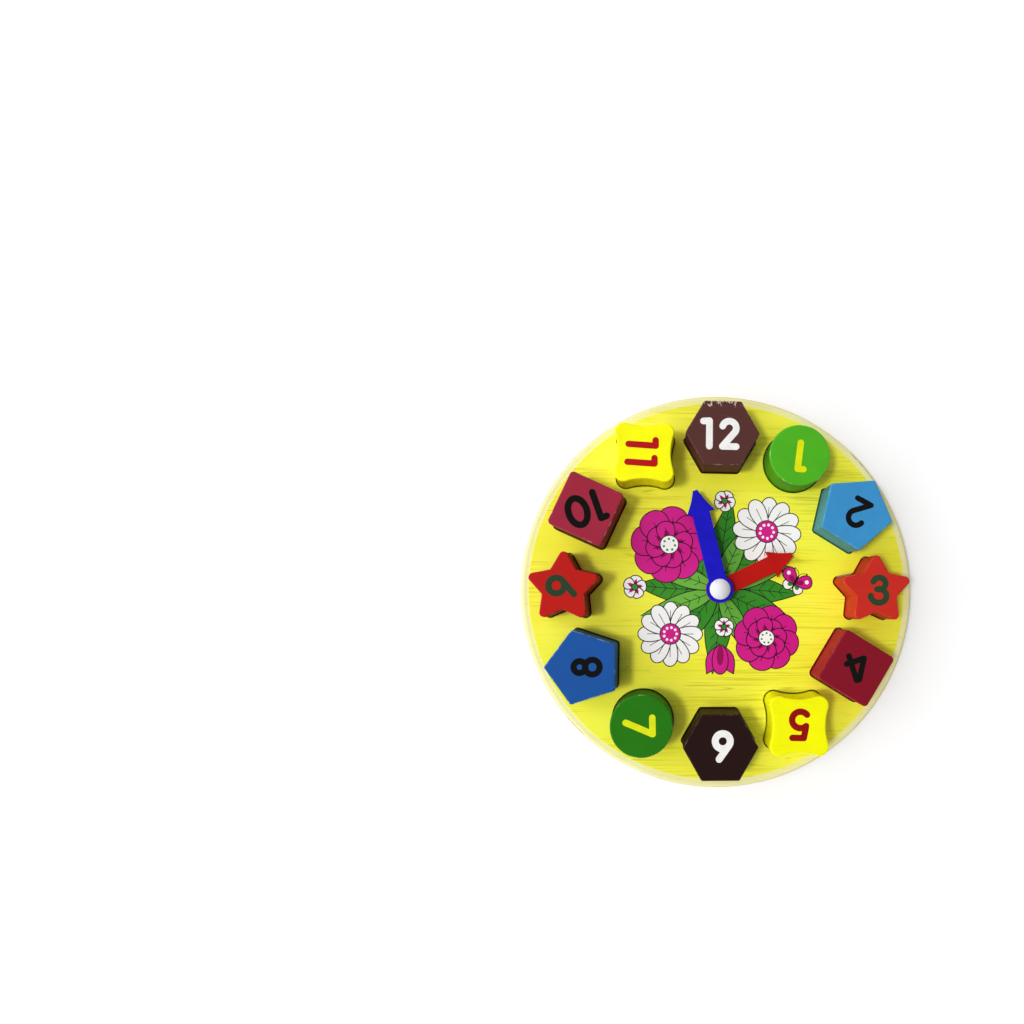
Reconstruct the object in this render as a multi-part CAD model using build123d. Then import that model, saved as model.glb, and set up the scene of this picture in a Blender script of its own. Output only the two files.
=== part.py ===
from build123d import *
import math
import os

# A wooden clock puzzle that lies on its back: a round board with twelve sockets, a number block in
# each socket, and an hour hand and a minute hand that turn on a plastic rivet in the middle.
# Millimetres. The origin is the middle of the underside, +Z is up and +Y points at twelve o'clock.

# Number blocks: each outline is measured straight across the wood
hexagon_across_flats = 34.8
circle_diameter = 33.0
pentagon_radius = 20.6
star_radius = 21.5
star_notch_radius = 11.6
star_tip_round = 2.5
star_notch_round = 1.2
square_side = 30.7
square_corner_radius = 2.2
cushion_width = 31.6
cushion_corner_radius = 5.0
cushion_waist = 1.7
block_height = 26.0
block_corner_radius = 1.4
block_edge_round = 0.8
block_foot_chamfer = 0.5

# Sockets and the ring that they lie on
socket_clearance = 0.8
socket_web = 4.4
rim_wall = 3.9
hours = 12

# Board: a thin backing disc, a thick disc with the sockets cut through it, and a printed face
backing_thickness = 3.0
backing_edge_chamfer = 0.8
socket_board_thickness = 6.0
rim_round = 2.0
face_thickness = 0.25
face_margin = 4.5

# Hands
hand_thickness = 3.0
hand_width = 9.8
hand_boss_diameter = 15.0
hand_head_length = 12.8
hand_head_width = 16.0
hand_tip_width = 2.6
hand_head_bulge = 0.5
hand_edge_round = 0.4
hand_sweep_gap = 5.6
hour_hand_shorter = 11.0
minute_hand_turn = 14.5
hour_hand_turn = -64.1

# Rivet, washers and the star lock behind the board
rivet_shank_diameter = 4.5
rivet_head_diameter = 11.3
rivet_head_rim = 0.7
rivet_head_dome = 2.6
rivet_bulb_diameter = 5.3
rivet_bulb_length = 0.9
rivet_tip_chamfer = 0.4
hand_bore_clearance = 0.1
board_bore_clearance = 0.25
washer_clearance = 0.15
washer_diameter = 10.5
face_washer_thickness = 1.0
hand_washer_thickness = 0.8
running_gap = 0.1
lock_diameter = 12.5
lock_thickness = 1.5
lock_slot_width = 1.0
lock_slot_length = 1.6
lock_slot_count = 6
lock_grip_clearance = 0.02
recess_clearance = 1.6

# One overrun for every cutting tool
cut_overrun = 1.0

# Outlines that the sizes above settle
hexagon_reach = hexagon_across_flats / 2 / math.cos(math.pi / 6)
square_reach = square_side / math.sqrt(2)
cushion_lobe_centre = cushion_width / 2 - cushion_corner_radius
cushion_reach = cushion_lobe_centre * math.sqrt(2) + cushion_corner_radius
star_step = math.pi / 5
star_side = math.hypot(
    star_radius - star_notch_radius * math.cos(star_step), star_notch_radius * math.sin(star_step)
)
star_tip_sine = star_notch_radius * math.sin(star_step) / star_side
star_tip_centre = star_radius - star_tip_round / star_tip_sine
star_reach = star_tip_centre + star_tip_round
star_width = 2 * (star_tip_centre * math.sin(2 * star_step) + star_tip_round)
pentagon_width = pentagon_radius * (1 + math.cos(math.pi / 5))
widest_block = max(
    hexagon_across_flats, circle_diameter, pentagon_width, star_width, square_side, cushion_width
)
block_reach = max(
    hexagon_reach, circle_diameter / 2, pentagon_radius, star_reach, square_reach, cushion_reach
)

# The ring of block centres, and the board around it
socket_pitch = widest_block + 2 * socket_clearance + socket_web
ring_radius = socket_pitch / 2 / math.sin(math.pi / hours)
board_radius = ring_radius + block_reach + socket_clearance + rim_wall

# Levels, from the underside up
socket_floor = backing_thickness
board_top = socket_floor + socket_board_thickness
face_top = board_top + face_thickness
hour_hand_bottom = face_top + face_washer_thickness + running_gap
hour_hand_top = hour_hand_bottom + hand_thickness
minute_hand_bottom = hour_hand_top + hand_washer_thickness + 2 * running_gap
minute_hand_top = minute_hand_bottom + hand_thickness
rivet_head_bottom = minute_hand_top + running_gap
lock_bottom = socket_floor - lock_thickness

# Hand lengths, from the rivet to the tip
minute_hand_length = ring_radius - block_reach - hand_sweep_gap
hour_hand_length = minute_hand_length - hour_hand_shorter

# Each block: its number, its outline, and how far the outline is turned clockwise
BLOCKS = [
    (12, "hexagon", 0),
    (1, "circle", 0),
    (2, "pentagon", 31),
    (3, "star", 0),
    (4, "square", 31),
    (5, "cushion", 0),
    (6, "hexagon", 0),
    (7, "circle", 0),
    (8, "pentagon", 54),
    (9, "star", 0),
    (10, "square", 24),
    (11, "cushion", 0),
]


# Outlines of the blocks. Growing an outline moves every side outward by the same distance, so the
# same function draws a block and the socket around it.
def hexagon(grow):
    outline = RegularPolygon(hexagon_across_flats / 2 + grow, 6, major_radius=False)
    return fillet(outline.vertices(), block_corner_radius + grow)


def circle(grow):
    return Circle(circle_diameter / 2 + grow)


def pentagon(grow):
    apothem = pentagon_radius * math.cos(math.pi / 5)
    outline = RegularPolygon(apothem + grow, 5, major_radius=False, rotation=90)
    return fillet(outline.vertices(), block_corner_radius + grow)


def star(grow):
    side_distance = star_radius * star_tip_sine
    growth = (side_distance + grow) / side_distance
    points = []
    for k in range(10):
        reach = growth * (star_notch_radius if k % 2 else star_radius)
        angle = math.pi / 2 + k * star_step
        points.append((reach * math.cos(angle), reach * math.sin(angle)))
    outline = Polygon(*points, align=None)
    middle_radius = growth * (star_radius + star_notch_radius) / 2
    tips = [v for v in outline.vertices() if Vector(v).length > middle_radius]
    outline = fillet(tips, star_tip_round + grow)
    notch_reach = growth * star_notch_radius + star_notch_round
    notches = [v for v in outline.vertices() if Vector(v).length < notch_reach]
    return fillet(notches, star_notch_round - grow)


def square(grow):
    outline = Rectangle(square_side + 2 * grow, square_side + 2 * grow)
    return fillet(outline.vertices(), square_corner_radius + grow)


def cushion(grow):
    # A square whose corners are round lobes and whose sides dip inward between them: each side is
    # an arc about a point outside the block, and touches both corner arcs smoothly.
    centre = cushion_lobe_centre
    dip = cushion_corner_radius - cushion_waist
    side_radius = (centre**2 + dip**2 - cushion_corner_radius**2) / (2 * cushion_waist)
    side_centre = centre + dip + side_radius
    lobe = cushion_corner_radius + grow
    share = lobe / (side_radius + cushion_corner_radius)
    near = (centre - share * centre, centre + share * (side_centre - centre))
    tip = centre + lobe / math.sqrt(2)
    quarter = [
        ThreePointArc(
            (-near[0], near[1]), (0, cushion_width / 2 - cushion_waist + grow), near
        ),
        ThreePointArc(near, (tip, tip), (near[1], near[0])),
    ]
    edges = [Rot(Z=-90 * k) * edge for k in range(4) for edge in quarter]
    return make_face(edges)


OUTLINES = {
    "hexagon": hexagon,
    "circle": circle,
    "pentagon": pentagon,
    "star": star,
    "square": square,
    "cushion": cushion,
}


def block_place(number, turn):
    angle = math.radians(90 - 360 / hours * number)
    return Pos(ring_radius * math.cos(angle), ring_radius * math.sin(angle)) * Rot(Z=-turn)


def socket_cuts():
    """One sketch with the outline of every socket, and the hole for the rivet."""
    cuts = Circle(rivet_shank_diameter / 2 + board_bore_clearance)
    for number, shape, turn in BLOCKS:
        cuts += block_place(number, turn) * OUTLINES[shape](socket_clearance)
    return cuts


def ring(outer_radius, inner_radius, bottom, height):
    return Pos(Z=bottom) * extrude(Circle(outer_radius) - Circle(inner_radius), height)


# Board
def make_backing_board():
    disc = extrude(Circle(board_radius), backing_thickness)
    disc = chamfer(disc.edges().group_by(Axis.Z)[0], backing_edge_chamfer)
    recess_radius = lock_diameter / 2 + recess_clearance
    recess = Pos(Z=-cut_overrun) * extrude(
        Circle(recess_radius), backing_thickness + 2 * cut_overrun
    )
    return disc - recess


def make_socket_board(cuts):
    disc = Pos(Z=socket_floor) * extrude(Circle(board_radius), socket_board_thickness)
    disc = fillet(disc.edges().group_by(Axis.Z)[-1], rim_round)
    depth = socket_board_thickness + 2 * cut_overrun
    return disc - Pos(Z=socket_floor - cut_overrun) * extrude(cuts, depth)


def make_face_print(cuts):
    sheet = Circle(board_radius - face_margin) - cuts
    return Pos(Z=board_top) * extrude(sheet, face_thickness)


# Blocks
def make_block(number, shape, turn):
    solid = extrude(OUTLINES[shape](0), block_height)
    solid = fillet(solid.edges().group_by(Axis.Z)[-1], block_edge_round)
    solid = chamfer(solid.edges().group_by(Axis.Z)[0], block_foot_chamfer)
    return Pos(Z=socket_floor) * block_place(number, turn) * solid


# Hands
def arrow_head(length):
    """The head of a hand that points along +Y: two bulged sides that meet at a blunt tip."""
    barb_y = length - hand_head_length
    barb_x = hand_head_width / 2
    tip_x = hand_tip_width / 2
    right_side = SagittaArc((barb_x, barb_y), (tip_x, length), hand_head_bulge)
    left_side = SagittaArc((-tip_x, length), (-barb_x, barb_y), hand_head_bulge)
    tip = Line((tip_x, length), (-tip_x, length))
    back = Line((-barb_x, barb_y), (barb_x, barb_y))
    return make_face([right_side, tip, left_side, back])


def make_hand(length, bottom, turn):
    shaft_length = length - hand_head_length
    shaft = Pos(Y=shaft_length / 2) * Rectangle(hand_width, shaft_length)
    outline = Circle(hand_boss_diameter / 2) + shaft + arrow_head(length)
    solid = extrude(outline, hand_thickness)
    solid = fillet(solid.edges().group_by(Axis.Z)[-1], hand_edge_round)
    solid = fillet(solid.edges().group_by(Axis.Z)[0], hand_edge_round)
    bore_radius = rivet_shank_diameter / 2 + hand_bore_clearance
    bore = Pos(Z=-cut_overrun) * extrude(Circle(bore_radius), hand_thickness + 2 * cut_overrun)
    return Pos(Z=bottom) * Rot(Z=turn) * (solid - bore)


# Rivet and washers
def make_rivet():
    shank = rivet_shank_diameter / 2
    head = rivet_head_diameter / 2
    bulb = rivet_bulb_diameter / 2
    rim_top = rivet_head_bottom + rivet_head_rim
    dome_top = rim_top + rivet_head_dome
    dome_radius = (head**2 + rivet_head_dome**2) / (2 * rivet_head_dome)
    halfway = math.asin(head / dome_radius) / 2
    dome_middle = (
        dome_radius * math.sin(halfway), dome_top - dome_radius * (1 - math.cos(halfway))
    )
    bulb_top = lock_bottom - running_gap
    tip = bulb_top - rivet_bulb_length
    outline = [
        ThreePointArc((0, dome_top), dome_middle, (head, rim_top)),
        Polyline(
            (head, rim_top),
            (head, rivet_head_bottom),
            (shank, rivet_head_bottom),
            (shank, bulb_top),
            (bulb, bulb_top),
            (shank - rivet_tip_chamfer, tip),
            (0, tip),
            (0, dome_top),
        ),
    ]
    profile = make_face(outline)
    return revolve(Plane.XZ * profile, Axis.Z)


def make_washer(bottom, thickness):
    inner = rivet_shank_diameter / 2 + washer_clearance
    return ring(washer_diameter / 2, inner, bottom, thickness)


def make_star_lock():
    """The push-on disc behind the board: slots around its bore leave teeth that grip the rivet."""
    inner = rivet_shank_diameter / 2 + lock_grip_clearance
    disc = ring(lock_diameter / 2, inner, lock_bottom, lock_thickness)
    slot = Pos(Z=lock_bottom - cut_overrun) * Box(
        inner + lock_slot_length,
        lock_slot_width,
        lock_thickness + 2 * cut_overrun,
        align=(Align.MIN, Align.CENTER, Align.MIN),
    )
    for k in range(lock_slot_count):
        disc -= Rot(Z=360 / lock_slot_count * k) * slot
    return disc


def main():
    cuts = socket_cuts()
    parts = {
        "backing_board": make_backing_board(),
        "socket_board": make_socket_board(cuts),
        "face_print": make_face_print(cuts),
        "hour_hand": make_hand(hour_hand_length, hour_hand_bottom, hour_hand_turn),
        "minute_hand": make_hand(minute_hand_length, minute_hand_bottom, minute_hand_turn),
        "hub_rivet": make_rivet(),
        "face_washer": make_washer(face_top, face_washer_thickness),
        "hand_washer": make_washer(hour_hand_top + running_gap, hand_washer_thickness),
        "star_lock": make_star_lock(),
    }
    for number, shape, turn in BLOCKS:
        parts[f"block_{number}_{shape}"] = make_block(number, shape, turn)
    os.makedirs("parts", exist_ok=True)
    for name, shape in parts.items():
        export_step(shape, f"parts/{name}.step")
    print("ring radius", round(ring_radius, 2), "board radius", round(board_radius, 2))
    print("minute hand", round(minute_hand_length, 2), "hour hand", round(hour_hand_length, 2))


main()
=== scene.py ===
import math

import bpy
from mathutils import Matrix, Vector
from mathutils.geometry import delaunay_2d_cdt


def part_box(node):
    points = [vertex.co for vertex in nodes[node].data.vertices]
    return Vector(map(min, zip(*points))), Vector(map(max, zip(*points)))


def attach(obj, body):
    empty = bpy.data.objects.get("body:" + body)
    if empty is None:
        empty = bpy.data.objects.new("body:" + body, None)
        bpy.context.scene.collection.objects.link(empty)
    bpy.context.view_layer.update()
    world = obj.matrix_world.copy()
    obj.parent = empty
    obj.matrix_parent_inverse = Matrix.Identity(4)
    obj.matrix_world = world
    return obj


# A wooden clock puzzle on its back. The frame holds the board, the blocks and the hands; this
# script gives them their finish, and adds the printed numbers and the picture on the face.
# Shapes are drawn in millimetres in plan, with +X towards three o'clock and +Y towards twelve.

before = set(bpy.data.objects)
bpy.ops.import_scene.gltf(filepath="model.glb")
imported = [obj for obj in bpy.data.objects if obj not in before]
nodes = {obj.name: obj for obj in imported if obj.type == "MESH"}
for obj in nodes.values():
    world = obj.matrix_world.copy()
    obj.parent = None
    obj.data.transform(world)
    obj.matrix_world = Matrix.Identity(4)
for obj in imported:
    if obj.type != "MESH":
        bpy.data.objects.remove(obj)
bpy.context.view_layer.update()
mm = 0.001

# Camera, fitted to the photograph: it looks almost straight down from a little left of the middle
camera_place = (-0.0289, -0.0081, 0.3687)
camera_turn = (0.0405, -0.0517, 0.0078)
camera_lens = 22.58
camera_sensor = 36.0
camera_shift = (-0.184, 0.064)
camera_near = 0.01

# Places that the frame settles
block_names = {int(name.split("_")[1]): name for name in nodes if name.startswith("block_")}
hours = len(block_names)
round_low, round_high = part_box(block_names[1])
ring_radius = math.hypot(round_low.x + round_high.x, round_low.y + round_high.y) / 2 / mm
block_top = round_high.z / mm
face_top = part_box("face_print")[1].z / mm
washer_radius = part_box("face_washer")[1].x / mm
print_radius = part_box("face_print")[1].y / mm

# Ink: how deep a print is rooted in what carries it, and how far it stands proud
ink_root = 0.04
number_ink_thickness = 0.04
picture_ink_thickness = 0.03

# Where the hands point at rest, in degrees anticlockwise from twelve
hour_hand_turn = -64.1
minute_hand_turn = 14.5


def tint(red, green, blue):
    """A colour as it is seen on a screen, from 0 to 255, as the shader's linear colour."""
    shares = [value / 255 for value in (red, green, blue)]
    linear = [s / 12.92 if s <= 0.04045 else ((s + 0.055) / 1.055) ** 2.4 for s in shares]
    return (*linear, 1.0)


# Outlines in plan
def turned(points, clockwise, at=(0, 0)):
    """The points turned clockwise by so many degrees, and moved to a place."""
    angle = -math.radians(clockwise)
    cos, sin = math.cos(angle), math.sin(angle)
    return [(at[0] + x * cos - y * sin, at[1] + x * sin + y * cos) for x, y in points]


def arc(centre, radius, start, end, step=7.5):
    """Points along an arc from one angle to another, in degrees counted anticlockwise from +X."""
    count = max(2, math.ceil(abs(end - start) / step))
    angles = [math.radians(start + (end - start) * k / count) for k in range(count + 1)]
    return [(centre[0] + radius * math.cos(a), centre[1] + radius * math.sin(a)) for a in angles]


def disc(centre, radius):
    return arc(centre, radius, 0, 360, step=15)[:-1]


def offsets(points, distance):
    """The points of an open line moved sideways, to its right where the distance is positive."""
    moved = []
    for k, (x, y) in enumerate(points):
        before = points[max(k - 1, 0)]
        after = points[min(k + 1, len(points) - 1)]
        ahead = (Vector(after) - Vector(before)).normalized()
        moved.append((x + ahead.y * distance, y - ahead.x * distance))
    return moved


def ribbon(points, width):
    """The outline of a line of that width, anticlockwise."""
    right = offsets(points, width / 2)
    left = offsets(points, -width / 2)
    return right + left[::-1]


def stroke(points, width):
    """A line with round ends, as outlines that overlap."""
    right = offsets(points, width / 2)
    left = offsets(points, -width / 2)
    cells = []
    for k in range(len(points) - 1):
        cells.append([right[k], right[k + 1], left[k + 1], left[k]])
    return cells + [disc(points[0], width / 2), disc(points[-1], width / 2)]


def grown(outline, distance):
    """A closed anticlockwise outline with every side moved outward by the same distance.

    A sharp corner moves at most twice as far.
    """
    sharpest = 0.5
    moved = []
    for k, point in enumerate(outline):
        here = Vector(point)
        back = (here - Vector(outline[k - 1])).normalized()
        ahead = (Vector(outline[(k + 1) % len(outline)]) - here).normalized()
        out = Vector((back.y + ahead.y, -back.x - ahead.x))
        out = out / max(out.length_squared / 2, sharpest)
        moved.append(tuple(here + out * distance))
    return moved


def plate(name, layers, inks, low, high):
    """A thin solid print. Each layer is an ink and a closed outline, and covers those before it.

    An ink of None leaves a hole in the layers before it.
    """
    inside_only = 1
    merging_distance = 1e-5
    corners = []
    faces = []
    for _ink, outline in layers:
        faces.append(list(range(len(corners), len(corners) + len(outline))))
        corners += [Vector(point) for point in outline]
    split = delaunay_2d_cdt(corners, [], faces, inside_only, merging_distance, True)
    points, _edges, cells, _from_points, _from_edges, sources = split
    kept = []
    for cell, source in zip(cells, sources):
        ink = layers[max(source)][0] if source else None
        if ink is not None:
            kept.append((cell, inks.index(ink)))
    used = sorted({k for cell, _ink in kept for k in cell})
    number = {k: n for n, k in enumerate(used)}
    top = [(points[k].x * mm, points[k].y * mm, high * mm) for k in used]
    bottom = [(x, y, low * mm) for x, y, _z in top]
    sides = {}
    polygons = []
    for cell, ink in kept:
        ring = [number[k] for k in cell]
        polygons.append((ring, ink))
        polygons.append(([k + len(top) for k in reversed(ring)], ink))
        for a, b in zip(ring, ring[1:] + ring[:1]):
            sides[(a, b)] = ink
    for (a, b), ink in sides.items():
        if (b, a) not in sides:
            polygons.append(([a + len(top), b + len(top), b, a], ink))
    mesh = bpy.data.meshes.new(name)
    mesh.from_pydata(top + bottom, [], [ring for ring, _ink in polygons])
    mesh.polygons.foreach_set("material_index", [ink for _ring, ink in polygons])
    mesh.update()
    made = bpy.data.objects.new(name, mesh)
    bpy.context.scene.collection.objects.link(made)
    return made


# Numbers: each digit is a set of strokes along its centre line, with round ends and corners, in a
# box whose half width is a and whose half height is b
def digit_zero(a, b):
    return [[(a * x, b * y) for x, y in arc((0, 0), 1, 0, 360)]]


def digit_one(a, b):
    flag_drop_share = 0.03
    return [[(a, -b), (a, b)], [(a, b), (-a, b - b * flag_drop_share)]]


def digit_two(a, b):
    hook = arc((0, b - a), a, 165, -38)
    return [hook, [hook[-1], (-a, -b)], [(-a, -b), (a, -b)]]


def digit_three(a, b):
    """Two bowls that meet at a short bar, the upper one the narrower."""
    upper, lower = 0.47 * b, 0.55 * b
    upper_width, bar = 0.8 * a, 0.25 * a
    waist = b - 2 * upper
    bowl = [(x * a / lower, y) for x, y in arc((0, lower - b), lower, 90, -175)]
    top = [(x * upper_width / upper, y) for x, y in arc((0, b - upper), upper, 165, -90)]
    return [top, bowl, [(-bar, waist), (0, waist)]]


def digit_four(a, b):
    """A slanted line from a short flat top, and a bar that crosses the stem."""
    stem, top = 0.5 * a, 0.18 * a
    bar = -0.46 * b
    roof = [(stem, b), (top, b)]
    return [[(stem, -b), (stem, b)], roof, [(top, b), (-a, bar)], [(-a, bar), (a, bar)]]


def digit_five(a, b):
    """A bowl, with a slanted neck up to the left end of the top bar."""
    across, up = 1.07 * a, 1.03 * a
    left_shift = 0.07 * a
    bowl = [(x * across - left_shift, y * up + up - b) for x, y in arc((0, 0), 1, 133, -140)]
    bar_end, corner = (0.92 * a, b), (-0.54 * a, b)
    return [[bar_end, corner], [corner, bowl[0]], bowl]


def digit_six(a, b):
    """A round loop with a straight tail that leaves its left side as a tangent."""
    centre = Vector((0, a - b))
    end = Vector((0.46 * a, b))
    away = end - centre
    touch = math.atan2(away.y, away.x) + math.acos(a / away.length)
    start = centre + a * Vector((math.cos(touch), math.sin(touch)))
    return [arc(centre, a, 0, 360), [tuple(start), tuple(end)]]


def digit_seven(a, b):
    """A top bar that rises a little to the right, and a slanted stem."""
    bar_start, corner, foot = (-a, 0.97 * b), (a, b), (-0.42 * a, -b)
    return [[bar_start, corner], [corner, foot]]


def digit_eight(a, b):
    """Two round loops, the upper one the smaller."""
    small = 0.81 * a
    return [arc((0, a - b), a, 0, 360), arc((0, b - small), small, 0, 360)]


def digit_nine(a, b):
    return [turned(line, 180) for line in digit_six(a, b)]


DIGITS = {
    "0": digit_zero,
    "1": digit_one,
    "2": digit_two,
    "3": digit_three,
    "4": digit_four,
    "5": digit_five,
    "6": digit_six,
    "7": digit_seven,
    "8": digit_eight,
    "9": digit_nine,
}

# Each number: its ink, how far it is turned clockwise, its height, the width of its lines, its
# digits as (digit, width, place across), and how far the whole number stands off the middle
NUMBERS = {
    12: ("white", 0, 17.3, 3.6, [("1", 6.8, -7.2), ("2", 11.0, 5.1)], (-1.6, -0.5)),
    1: ("yellow", 187, 17.8, 3.5, [("1", 6.6, 0)], (1.1, -0.6)),
    2: ("black", 208, 17.0, 3.0, [("2", 11.2, 0)], (1.2, -0.3)),
    3: ("bottle_green", 4, 16.8, 3.3, [("3", 11.9, 0)], (1.1, 0)),
    4: ("black", 162, 16.6, 3.1, [("4", 13.0, 0)], (0.3, 0.8)),
    5: ("dark_red", 181, 17.2, 3.4, [("5", 11.8, 0)], (0.1, 0.7)),
    6: ("white", 180, 17.0, 3.7, [("6", 11.6, 0)], (1.0, 0.7)),
    7: ("yellow", 89.5, 17.5, 3.4, [("7", 11.9, 0)], (-1.1, 0.2)),
    8: ("black", 270, 16.7, 3.2, [("8", 10.8, 0)], (1.8, 0.2)),
    9: ("bottle_green", 285, 17.5, 3.4, [("9", 11.6, 0)], (-0.5, 0.1)),
    10: ("black", 160, 18.0, 3.5, [("1", 6.6, -6.7), ("0", 13.1, 5.4)], (1.0, 0.0)),
    11: ("red", 93, 17.8, 3.4, [("1", 6.4, -4.8), ("1", 6.4, 4.8)], (-1.4, 0.5)),
}


def block_middle(number):
    angle = math.radians(90 - 360 / hours * number)
    return ring_radius * math.cos(angle), ring_radius * math.sin(angle)


def print_number(number, ink, turn, height, line, digits, nudge):
    middle = block_middle(number)
    at = (middle[0] + nudge[0], middle[1] + nudge[1])
    layers = []
    for digit, width, across in digits:
        for path in DIGITS[digit]((width - line) / 2, (height - line) / 2):
            moved = [(x + across, y) for x, y in path]
            layers += [(ink, turned(cell, turn, at)) for cell in stroke(moved, line)]
    low, high = block_top - ink_root, block_top + number_ink_thickness
    made = plate(f"number_{number}", layers, [ink], low, high)
    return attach(made, block_names[number])


# The picture on the face: flowers, leaves and a butterfly, drawn with a thin dark line. It leaves
# the washer free.
picture_line = 0.55
vein_line = 0.35
washer_gap = 0.3

# Its inks: the colour of each, and the deeper one that it drifts to
PICTURE_INKS = {
    "line": ((38, 20, 36), (24, 14, 24)),
    "magenta": ((218, 34, 146), (204, 20, 130)),
    "rose": ((160, 6, 88), (142, 4, 76)),
    "green": ((66, 150, 44), (44, 132, 30)),
    "light_green": ((112, 184, 66), (96, 168, 56)),
    "white": ((252, 250, 248), (244, 242, 238)),
}

# Its leaves, which all start at the hub: where each points in degrees clockwise from twelve, its
# length, and how far its tip bends sideways
dark_leaf_width = 15
DARK_LEAVES = (
    (2, 52, 5),
    (40, 47, -5),
    (88, 45, 4),
    (118, 46, -4),
    (178, 47, 5),
    (222, 44, -4),
    (268, 47, 4),
    (312, 50, 4),
)
light_leaf_width = 11
LIGHT_LEAVES = (
    (20, 40, 3),
    (66, 42, 4),
    (155, 44, -3),
    (246, 46, 4),
    (292, 45, -4),
)

# A leaf is broadest nearer its foot, because this power is below one
leaf_power = 0.85

# What lies on a petal, as shares of the petal's length and width
flame_length_share = 0.62
flame_width_share = 0.34
vein_start_share = 0.3
vein_end_share = 0.72

# How much broader a petal is near its round end: a full one, and one that is nearly even
full = 0.35
even = 0.1


def drawn(outline, ink):
    """A shape in its own ink, inside a dark line."""
    half = picture_line / 2
    return [("line", grown(outline, half)), (ink, grown(outline, -half))]


def placed(layers, at=(0, 0), clockwise=0):
    return [(ink, turned(outline, clockwise, at)) for ink, outline in layers]


def petal(length, width, fullness=full):
    """A petal from its foot at the origin along +Y, broadest near its round end."""
    count = 32
    points = []
    for k in range(count):
        a = 2 * math.pi * k / count
        across = width / 2 * math.sin(a) * (1 - fullness * math.cos(a))
        points.append((across, length * (1 - math.cos(a)) / 2))
    return points


def leaf_shape(length, width, bend):
    """A leaf from its foot at the origin, pointed at both ends, whose tip bends sideways."""
    count = 14
    right = []
    left = []
    for k in range(count + 1):
        s = k / count
        half = width / 2 * math.sin(math.pi * s**leaf_power)
        right.append((bend * s * s + half, length * s))
        left.append((bend * s * s - half, length * s))
    return right + left[-2:0:-1]


def leaf(length, width, bend, ink):
    """A leaf with a vein along its middle, and veins that branch off it in pairs."""
    count = 8
    branch_share = 0.3
    branch_slope = 0.9
    layers = drawn(leaf_shape(length, width, bend), ink)
    middle = [(bend * (k / count) ** 2, length * k / count) for k in range(count)]
    layers.append(("line", ribbon(middle, vein_line)))
    for k in range(2, count - 1):
        x, y = middle[k]
        reach = width * branch_share * math.sin(math.pi * (k / count) ** leaf_power)
        for side in (-1, 1):
            tip = (x + side * reach, y + reach * branch_slope)
            layers.append(("line", ribbon([(x, y), tip], vein_line)))
    return layers


def blossom(petals, radius, width, ink, flame_ink):
    """A ring of petals, each with a flame of another ink at its foot and a fine vein."""
    flame = petal(radius * flame_length_share, width * flame_width_share, even)
    vein = ribbon([(0, radius * vein_start_share), (0, radius * vein_end_share)], vein_line)
    one = drawn(petal(radius, width), ink) + [(flame_ink, flame), ("line", vein)]
    layers = []
    for k in range(petals):
        layers += placed(one, clockwise=360 / petals * k)
    return layers


def eye(radius, ink, dot_ink, dots):
    """The round middle of a flower, with a ring of dots."""
    ring = 0.62 * radius
    dot_radius = 0.13 * radius
    layers = drawn(disc((0, 0), radius), ink)
    for k in range(dots):
        a = 2 * math.pi * k / dots
        layers.append((dot_ink, disc((ring * math.cos(a), ring * math.sin(a)), dot_radius)))
    return layers


def double_blossom(radius):
    """Two rings of petals. The inner one is smaller, and turned by half a petal."""
    petals = 8
    inner_radius = 0.62 * radius
    layers = blossom(petals, radius, 0.74 * radius, "magenta", "rose")
    inner = blossom(petals, inner_radius, 0.46 * radius, "magenta", "rose")
    layers += placed(inner, clockwise=180 / petals)
    return layers + eye(0.24 * radius, "white", "green", dots=7)


def daisy(radius):
    layers = blossom(12, radius, 0.46 * radius, "white", "white")
    return layers + eye(0.32 * radius, "magenta", "white", dots=9)


def small_flower(radius):
    layers = blossom(5, radius, 0.95 * radius, "white", "magenta")
    return layers + eye(0.28 * radius, "green", "light_green", dots=5)


def tulip(length):
    """Two pointed petals that lean apart, behind a full one with a flame."""
    width = 0.5 * length
    side_length, side_bend, lean = 0.92 * length, 0.3 * width, 16
    layers = []
    for side in (1, -1):
        behind = drawn(leaf_shape(side_length, width, side * side_bend), "magenta")
        layers += placed(behind, clockwise=side * lean)
    front = drawn(petal(0.86 * length, 0.95 * width, even), "magenta")
    front.append(("rose", petal(0.6 * length, 0.4 * width, even)))
    return layers + front


def butterfly(span):
    """Four wings and a body, and two feelers that curl out and end in a dot."""
    lower_turn, upper_turn = 128, 58
    curl = 0.2 * span
    layers = []
    for side in (-1, 1):
        lower = drawn(petal(0.36 * span, 0.28 * span), "white")
        lower.append(("green", petal(0.22 * span, 0.12 * span)))
        layers += placed(lower, clockwise=side * lower_turn)
        upper = drawn(petal(0.52 * span, 0.38 * span), "magenta")
        upper.append(("white", disc((0, 0.36 * span), 0.06 * span)))
        upper.append(("rose", petal(0.26 * span, 0.14 * span)))
        layers += placed(upper, clockwise=side * upper_turn)
        right_end = 45 + side * 45
        feeler = arc((side * curl, curl), curl, right_end, right_end + 90, step=15)
        layers.append(("line", ribbon(feeler, vein_line)))
        layers.append(("line", disc((side * curl, 2 * curl), 0.025 * span)))
    body = petal(0.46 * span, 0.075 * span, fullness=0.2)
    return layers + placed([("line", body)], at=(0, -curl))


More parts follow.
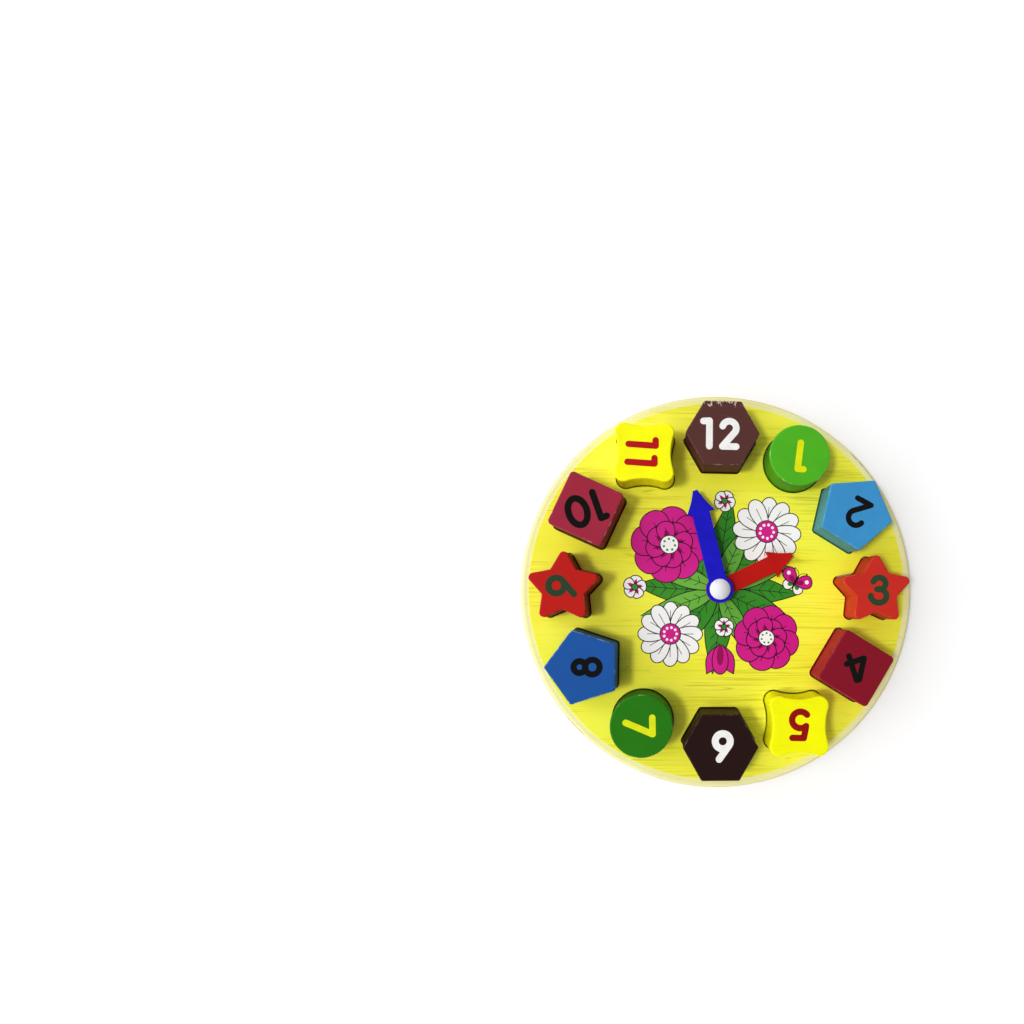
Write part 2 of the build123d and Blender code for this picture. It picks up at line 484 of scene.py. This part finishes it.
# What lies on the leaves, the lowest first: what it is, its size, its place and its turn clockwise
ON_LEAVES = (
    (tulip, 19, (1, -31), 180),
    (double_blossom, 21.5, (-28, 25), 8),
    (daisy, 19.5, (27, 33), 5),
    (daisy, 18, (-27, -25), 0),
    (double_blossom, 18.5, (27, -27), 14),
    (small_flower, 6.5, (-47, 1), 10),
    (small_flower, 6, (3, 50), 30),
    (small_flower, 5.5, (3, -21), 0),
    (butterfly, 19, (43, 4), 28),
)


def draw_picture():
    layers = []
    for clockwise, length, bend in DARK_LEAVES:
        layers += placed(leaf(length, dark_leaf_width, bend, "green"), clockwise=clockwise)
    for clockwise, length, bend in LIGHT_LEAVES:
        layers += placed(leaf(length, light_leaf_width, bend, "light_green"), clockwise=clockwise)
    for shape, size, at, clockwise in ON_LEAVES:
        layers += placed(shape(size), at, clockwise)
    layers.append((None, disc((0, 0), washer_radius + washer_gap)))
    low, high = face_top - ink_root, face_top + picture_ink_thickness
    made = plate("garden_picture", layers, list(PICTURE_INKS), low, high)
    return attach(made, "board")


class Nodes:
    """A tree of shader nodes. An input takes a number, a colour or another node's socket."""

    def __init__(self, tree):
        self.tree = tree

    def node(self, kind, inputs, **settings):
        made = self.tree.nodes.new("ShaderNode" + kind)
        for key, value in settings.items():
            setattr(made, key, value)
        for key, value in inputs.items():
            self.feed(made.inputs[key], value)
        return made

    def feed(self, socket, value):
        if isinstance(value, bpy.types.NodeSocket):
            self.tree.links.new(value, socket)
        else:
            socket.default_value = value

    def band(self, value, low, high, to_low=0.0, to_high=1.0):
        """The value mapped from one range to another, clamped at both ends."""
        ranges = {"From Min": low, "From Max": high, "To Min": to_low, "To Max": to_high}
        return self.node("MapRange", {"Value": value, **ranges}).outputs["Result"]

    def combine(self, kind, first, second):
        """Two values added, multiplied or brought together by another operation."""
        return self.node("Math", {0: first, 1: second}, operation=kind).outputs[0]


class Look(Nodes):
    """A material, whose own shader takes its inputs by name."""

    def __init__(self, name):
        self.material = bpy.data.materials.new(name)
        self.material.use_nodes = True
        super().__init__(self.material.node_tree)
        self.shader = self.tree.nodes["Principled BSDF"]
        self.place = self.node("TexCoord", {}).outputs["Object"]

    def set(self, **inputs):
        """Inputs of the shader, such as base_color for Base Color."""
        for key, value in inputs.items():
            self.feed(self.shader.inputs[key.replace("_", " ").title().replace("Ior", "IOR")], value)

    def stretched(self, scale, turn):
        """Coordinates in which one unit is one over the scale, in metres, turned about Z."""
        inputs = {"Vector": self.place, "Scale": scale, "Rotation": (0, 0, math.radians(turn))}
        return self.node("Mapping", inputs, vector_type="TEXTURE").outputs[0]

    def noise(self, size, detail=3.0, rough=0.5, turn=0.0):
        """Noise whose features are about as large as the size, given in millimetres along X, Y, Z."""
        place = self.stretched(tuple(s * mm for s in size), turn)
        inputs = {"Vector": place, "Scale": 1.0, "Detail": detail, "Roughness": rough}
        return self.node("TexNoise", inputs).outputs["Fac"]

    def blend(self, factor, first, second, kind="MIX"):
        """Two colours mixed. Several sockets of this node share a name, so they go by number."""
        inputs = {0: factor, 6: first, 7: second}
        return self.node("Mix", inputs, data_type="RGBA", blend_type=kind).outputs[2]

    def relief(self, height, depth):
        """A soft bump whose height of one is so many millimetres."""
        strength = 0.5
        inputs = {"Height": height, "Distance": depth * mm, "Strength": strength}
        self.feed(self.shader.inputs["Normal"], self.node("Bump", inputs).outputs[0])

    def upward(self):
        """The height of the surface's own normal: one on top, zero on the sides."""
        normal = self.node("NewGeometry", {}).outputs["Normal"]
        return self.node("SeparateXYZ", {"Vector": normal}).outputs["Z"]

    def level(self):
        """Height above the floor in the part's own frame, in millimetres."""
        height = self.node("SeparateXYZ", {"Vector": self.place}).outputs["Z"]
        return self.combine("DIVIDE", height, mm)

    def reach(self):
        """How far a place lies from the axis of the hands, in metres."""
        flat = self.node("VectorMath", {0: self.place, 1: (1.0, 1.0, 0.0)}, operation="MULTIPLY")
        return self.node("VectorMath", {0: flat.outputs[0]}, operation="LENGTH").outputs["Value"]


def wear(node, look):
    """The node's own mesh is kept, and only its material changes."""
    for slot in nodes[node].material_slots:
        slot.material = look.material


def bare_wood():
    """Pale plywood: long grain on the faces, plies on the rim, browned walls in the sockets that are
    darkened further as painted shade in the gaps around the blocks.
    """
    ply_thickness = 1.5
    ply_wander = 0.35
    brown_fade = 0.5
    look = Look("bare_wood")
    soft = look.noise((60, 5, 5), 4, 0.55)
    fine = look.noise((28, 0.7, 0.7), 3, 0.6)
    pores = look.noise((9, 0.35, 0.35), 2, 0.5)
    face = look.blend(look.band(soft, 0.3, 0.7), tint(246, 243, 178), tint(241, 237, 162))
    face = look.blend(look.band(fine, 0.52, 0.7, 0, 0.4), face, tint(230, 220, 138))
    face = look.blend(look.band(pores, 0.62, 0.72, 0, 0.35), face, tint(210, 196, 116))
    wobble = look.noise((25, 25, 25), 2)
    height = look.combine("ADD", look.level(), look.combine("MULTIPLY", wobble, ply_wander))
    plies = look.band(look.combine("PINGPONG", height, ply_thickness), 0.65, 0.85)
    edge = look.blend(plies, tint(226, 204, 146), tint(200, 168, 108))
    edge = look.blend(look.band(pores, 0.55, 0.7, 0, 0.5), edge, tint(150, 118, 72))
    inside = look.band(look.reach(), print_radius * mm, (print_radius + brown_fade) * mm, 1.0, 0.0)
    # Socket walls: burnt brown from the cut, darkened further as painted shade for the gaps around the
    # blocks
    burnt_and_shaded = look.blend(look.band(soft, 0.35, 0.65), tint(66, 42, 22), tint(38, 24, 13))
    edge = look.blend(look.combine("MULTIPLY", inside, 0.95), edge, burnt_and_shaded)
    upper = look.band(look.upward(), 0.55, 0.85)
    under = look.band(look.upward(), -0.55, -0.85)
    look.set(base_color=look.blend(look.combine("MAXIMUM", upper, under), edge, face))
    look.set(roughness=look.band(fine, 0.3, 0.7, 0.5, 0.68))
    look.relief(look.combine("ADD", fine, pores), 0.05)
    return look


def grain_print(look):
    """The printed wood grain of the face, in yellow: long fine lines, in some places more than others.

    It gives the colour, and the streaks for the relief.
    """
    ring_count = 13.0
    broad = look.noise((170, 13, 13), 1, 0.5)
    streaks = look.noise((85, 1.2, 1.2), 2, 0.5)
    hair = look.noise((60, 0.5, 0.5), 1, 0.5)
    patch = look.noise((45, 16, 16), 2, 0.5)
    colour = look.blend(look.band(broad, 0.3, 0.7), tint(253, 249, 75), tint(246, 242, 57))
    grained = look.band(patch, 0.44, 0.6, 0.06, 1)
    rings = look.combine("PINGPONG", look.combine("MULTIPLY", broad, ring_count), 0.5)
    lines = look.combine("MULTIPLY", look.band(rings, 0.1, 0.02), look.band(streaks, 0.4, 0.55))
    lines = look.combine("MULTIPLY", lines, grained)
    colour = look.blend(look.combine("MULTIPLY", lines, 0.5), colour, tint(178, 168, 26))
    soft = look.combine("MULTIPLY", look.band(streaks, 0.52, 0.72), grained)
    colour = look.blend(look.combine("MULTIPLY", soft, 0.52), colour, tint(206, 198, 34))
    strokes = look.combine("MULTIPLY", look.band(hair, 0.6, 0.72), grained)
    colour = look.blend(look.combine("MULTIPLY", strokes, 0.38), colour, tint(166, 156, 22))
    return colour, streaks


def varnish(look, height):
    """The satin film over the print, which shows the wood below as a faint relief."""
    haze = look.noise((18, 12, 12), 3, 0.5)
    look.set(roughness=look.band(haze, 0.3, 0.7, 0.34, 0.44), specular_ior_level=0.3)
    look.relief(height, 0.03)


def printed_face():
    look = Look("printed_face")
    colour, streaks = grain_print(look)
    look.set(base_color=colour)
    varnish(look, streaks)
    return look


def picture_ink(name, light, dark):
    """A printed colour: nearly even, with a faint drift and the dots of the screen."""
    look = Look(f"picture_{name}")
    drift = look.noise((30, 30, 30), 2, 0.5)
    grit = look.noise((0.5, 0.5, 0.5), 2, 0.6)
    wood = look.noise((48, 1.1, 1.1), 4, 0.62)
    colour = look.blend(look.band(drift, 0.32, 0.68), light, dark)
    colour = look.blend(look.band(grit, 0.5, 0.8, 0, 0.12), colour, dark)
    look.set(base_color=colour)
    varnish(look, wood)
    return look


def block_paint(number, colour, side_light_and_shade, wear_and_highlight, turn, glinted):
    """Satin paint over wood: grain shows through, the sides take painted bounce light and painted shade,
    and the top edge is lighter in places, partly rubbed and partly a painted highlight.
    """
    look = Look(f"paint_{number}")
    up = look.upward()
    side = look.combine("SUBTRACT", 1.0, look.band(up, 0.1, 0.9))
    # The sides take a colour of their own: painted bounce light from the yellow face on some blocks,
    # painted shade on others
    base = look.blend(side, colour, side_light_and_shade)
    mottle = look.noise((11, 11, 11), 3, 0.55)
    grain = look.noise((22, 0.9, 0.9), 3, 0.6, turn)
    brush = look.noise((5, 5, 5), 4, 0.6)
    runs = look.noise((1.3, 1.3, 16), 3, 0.6)
    shade = look.band(mottle, 0.35, 0.7, 1.03, 0.95)
    shade = look.combine("ADD", shade, look.band(grain, 0.5, 0.75, 0, -0.04))
    streaky = look.combine("MULTIPLY", side, look.band(runs, 0.35, 0.7, 0.05, -0.08))
    shade = look.combine("ADD", shade, streaky)
    body = look.blend(1.0, base, shade, "MULTIPLY")
    # Lighter paint on the top edge in places: partly rubbed wear, partly a painted highlight
    edge = look.combine("MULTIPLY", look.band(up, 0.15, 0.45), look.band(up, 0.98, 0.85))
    rubbed_and_highlit = look.combine("MULTIPLY", edge, look.band(brush, 0.54, 0.62, 0.06, 0.8))
    body = look.blend(rubbed_and_highlit, body, wear_and_highlight)
    if glinted:
        # Painted glints in near white, shaped as chips and scratches along the edge that faces twelve
        body = look.blend(painted_glints(look, *glinted), body, tint(228, 216, 208))
    look.set(base_color=body, specular_ior_level=0.18)
    soaked = look.combine("MULTIPLY", side, 0.2)
    look.set(roughness=look.combine("ADD", look.band(mottle, 0.3, 0.7, 0.38, 0.48), soaked))
    look.relief(look.combine("ADD", grain, look.combine("MULTIPLY", brush, 0.6)), 0.022)
    return look


def painted_glints(look, start, end):
    """Painted glints shaped as chips along the edge that faces twelve, thicker towards it, on the top
    alone.

    Fine scratch-like glints start a little before them.
    """
    scratch_lead = 12
    along = look.node("SeparateXYZ", {"Vector": look.place}).outputs["Y"]
    near = look.combine("MULTIPLY", look.band(along, start * mm, end * mm), 0.2)
    glint_specks = look.noise((1.5, 2.6, 2.6), 4, 0.75, 25)
    glint_marks = look.band(look.combine("ADD", glint_specks, near), 0.72, 0.76)
    scratch = look.noise((26, 0.5, 0.5), 2, 0.5, -7)
    about = look.band(along, (start - scratch_lead) * mm, end * mm)
    lines = look.combine("MULTIPLY", look.band(scratch, 0.68, 0.74, 0, 0.35), about)
    wear_and_highlight = look.combine("MAXIMUM", glint_marks, lines)
    return look.combine("MULTIPLY", wear_and_highlight, look.band(look.upward(), 0.3, 0.9))


def number_ink(name, colour):
    """Screen ink: a little uneven in depth, and slightly glossier than the paint below."""
    dark_share = 0.8
    look = Look(f"number_{name}")
    dark = tuple(c * dark_share for c in colour[:3]) + (1.0,)
    drift = look.noise((4, 4, 4), 3, 0.6)
    grit = look.noise((0.4, 0.4, 0.4), 2, 0.5)
    look.set(base_color=look.blend(look.band(drift, 0.35, 0.7, 0, 0.6), colour, dark))
    look.set(roughness=look.band(grit, 0.3, 0.7, 0.34, 0.44), specular_ior_level=0.3)
    look.relief(grit, 0.02)
    return look


def moulded(name, colour, shade, rough, scratch_turn=0.0):
    """Moulded plastic: a faint drift of colour, fine scratches and a soft mould texture."""
    look = Look(name)
    drift = look.noise((9, 9, 9), 2, 0.5)
    scratch = look.noise((14, 0.25, 4), 2, 0.5, scratch_turn)
    skin = look.noise((0.5, 0.5, 0.5), 2, 0.5)
    body = look.blend(look.band(drift, 0.3, 0.7), colour, shade)
    look.set(base_color=body, specular_ior_level=0.22)
    lines = look.band(scratch, 0.64, 0.72)
    uneven = look.band(drift, 0.3, 0.7, rough, rough + 0.08)
    look.set(roughness=look.combine("ADD", uneven, look.combine("MULTIPLY", lines, 0.14)))
    look.relief(look.combine("SUBTRACT", look.combine("MULTIPLY", skin, 0.4), lines), 0.02)
    return look


# Paint of each block: its colour on top; on the sides, with painted bounce light and painted shade in it;
# where it is rubbed, which is partly a painted highlight; and how far its grain is turned, in degrees
PAINTS = {
    12: ((87, 50, 46), (78, 24, 42), (150, 116, 104), 4),
    1: ((76, 174, 32), (70, 150, 20), (150, 215, 110), -20),
    2: ((58, 140, 196), (70, 143, 156), (104, 170, 208), 31),
    3: ((194, 42, 32), (192, 46, 26), (214, 84, 60), 2),
    4: ((130, 18, 36), (160, 2, 38), (160, 60, 74), 31),
    5: ((244, 244, 2), (252, 252, 4), (246, 245, 30), 0),
    6: ((38, 19, 17), (40, 5, 14), (130, 100, 84), -3),
    7: ((36, 119, 14), (42, 122, 10), (130, 185, 90), 35),
    8: ((26, 83, 160), (16, 84, 138), (130, 175, 215), 54),
    9: ((187, 24, 18), (122, 4, 16), (214, 84, 64), 0),
    10: ((159, 38, 62), (118, 16, 30), (222, 150, 160), 24),
    11: ((252, 250, 10), (254, 250, 16), (253, 251, 40), 0),
}

# The block with painted glints on its edge, and where they start and are thickest along Y
glinted_number = 12
glint_span = (94.5, 101.0)


def dress_blocks():
    for number, (colour, side, wear_and_highlight, turn) in PAINTS.items():
        glinted = glint_span if number == glinted_number else None
        # The side colour carries painted bounce light and painted shade; the rubbed colour is partly a
        # painted highlight
        paint = block_paint(number, tint(*colour), tint(*side), tint(*wear_and_highlight), turn, glinted)
        wear(block_names[number], paint)


# Ink of the numbers
NUMBER_INKS = {
    "white": (244, 243, 240),
    "yellow": (226, 232, 8),
    "black": (10, 12, 10),
    "dark_red": (152, 2, 2),
    "red": (186, 8, 14),
    "bottle_green": (44, 66, 42),
}


def dress_numbers():
    inks = {name: number_ink(name, tint(*colour)) for name, colour in NUMBER_INKS.items()}
    for number, spec in NUMBERS.items():
        made = print_number(number, *spec)
        made.data.materials.append(inks[spec[0]].material)


def dress_picture():
    made = draw_picture()
    for name, (light, dark) in PICTURE_INKS.items():
        made.data.materials.append(picture_ink(name, tint(*light), tint(*dark)).material)


def dress_board():
    wood = bare_wood()
    for node in ("backing_board", "socket_board"):
        wear(node, wood)
    wear("face_print", printed_face())


def dress_hands():
    """Scratches run along each hand. Its turn counts from twelve, and that of its scratches from three."""
    red = moulded("red_plastic", tint(190, 20, 14), tint(176, 14, 10), 0.36, 90 + hour_hand_turn)
    blue = moulded("blue_plastic", tint(26, 20, 196), tint(20, 14, 180), 0.36, 90 + minute_hand_turn)
    white = moulded("white_plastic", tint(236, 236, 240), tint(226, 226, 232), 0.3)
    nylon = moulded("nylon", tint(232, 229, 216), tint(222, 218, 202), 0.5)
    wear("hour_hand", red)
    wear("minute_hand", blue)
    wear("hub_rivet", white)
    for node in ("face_washer", "hand_washer", "star_lock"):
        wear(node, nylon)


def lay_floor():
    """A matt white floor, in metres, that the camera sees a little brighter than it is lit."""
    half = 2.5
    glow = 0.1
    mesh = bpy.data.meshes.new("floor")
    corners = [(-half, -half, 0), (half, -half, 0), (half, half, 0), (-half, half, 0)]
    mesh.from_pydata(corners, [], [(0, 1, 2, 3)])
    floor = bpy.data.objects.new("floor", mesh)
    bpy.context.scene.collection.objects.link(floor)
    look = Look("floor")
    cloud = look.noise((120, 120, 120), 2, 0.5)
    look.set(base_color=look.blend(cloud, tint(250, 250, 250), tint(247, 247, 247)), roughness=0.7)
    seen = look.node("LightPath", {}).outputs["Is Camera Ray"]
    look.set(specular_ior_level=0.1, emission_color=tint(255, 255, 255))
    look.set(emission_strength=look.combine("MULTIPLY", seen, glow))
    mesh.materials.append(look.material)


def sun(name, strength, spread, tilt, heading):
    """A far lamp, tilted away from straight overhead towards a compass heading, in degrees."""
    lamp = bpy.data.lights.new(name, "SUN")
    lamp.energy = strength
    lamp.angle = math.radians(spread)
    made = bpy.data.objects.new(name, lamp)
    flat = math.radians(90 - heading)
    up = math.radians(90 - tilt)
    towards = Vector((math.cos(flat) * math.cos(up), math.sin(flat) * math.cos(up), math.sin(up)))
    made.rotation_euler = towards.to_track_quat("Z", "Y").to_euler()
    made.visible_glossy = False
    bpy.context.scene.collection.objects.link(made)


def light_room():
    """A room with its windows to the left. It is seen white, and its ceiling is dark in reflections."""
    window_light, wall_light, ceiling_light = 2.3, 0.24, 0.12
    sun("key", strength=1.25, spread=10, tilt=24, heading=262)
    world = bpy.data.worlds.new("room")
    bpy.context.scene.world = world
    world.use_nodes = True
    world.node_tree.nodes.clear()
    tree = Nodes(world.node_tree)
    white = tint(255, 255, 255)
    away = tree.node("SeparateXYZ", {0: tree.node("TexCoord", {}).outputs["Generated"]})
    lit = tree.band(away.outputs["X"], -1.0, 0.0, window_light, wall_light)
    room = tree.node("Background", {"Color": white, "Strength": lit})
    path = tree.node("LightPath", {})
    seen = path.outputs["Is Camera Ray"]
    mirrored = tree.band(away.outputs["Z"], 0.3, 0.8, 1.0, ceiling_light)
    shown = tree.combine("MAXIMUM", seen, mirrored)
    surround = tree.node("Background", {"Color": white, "Strength": shown})
    for other in ("Is Glossy Ray", "Is Transmission Ray"):
        seen = tree.combine("MAXIMUM", seen, path.outputs[other])
    mix = tree.node("MixShader", {0: seen, 1: room.outputs[0], 2: surround.outputs[0]})
    tree.node("OutputWorld", {"Surface": mix.outputs[0]})


def place_camera():
    lens = bpy.data.cameras.new("camera")
    lens.lens = camera_lens
    lens.sensor_width = camera_sensor
    lens.shift_x, lens.shift_y = camera_shift
    lens.clip_start = camera_near
    made = bpy.data.objects.new("camera", lens)
    made.location = camera_place
    made.rotation_euler = camera_turn
    bpy.context.scene.collection.objects.link(made)
    bpy.context.scene.camera = made
    bpy.context.scene.view_settings.view_transform = "Standard"


dress_board()
dress_blocks()
dress_hands()
dress_numbers()
dress_picture()
lay_floor()
light_room()
place_camera()
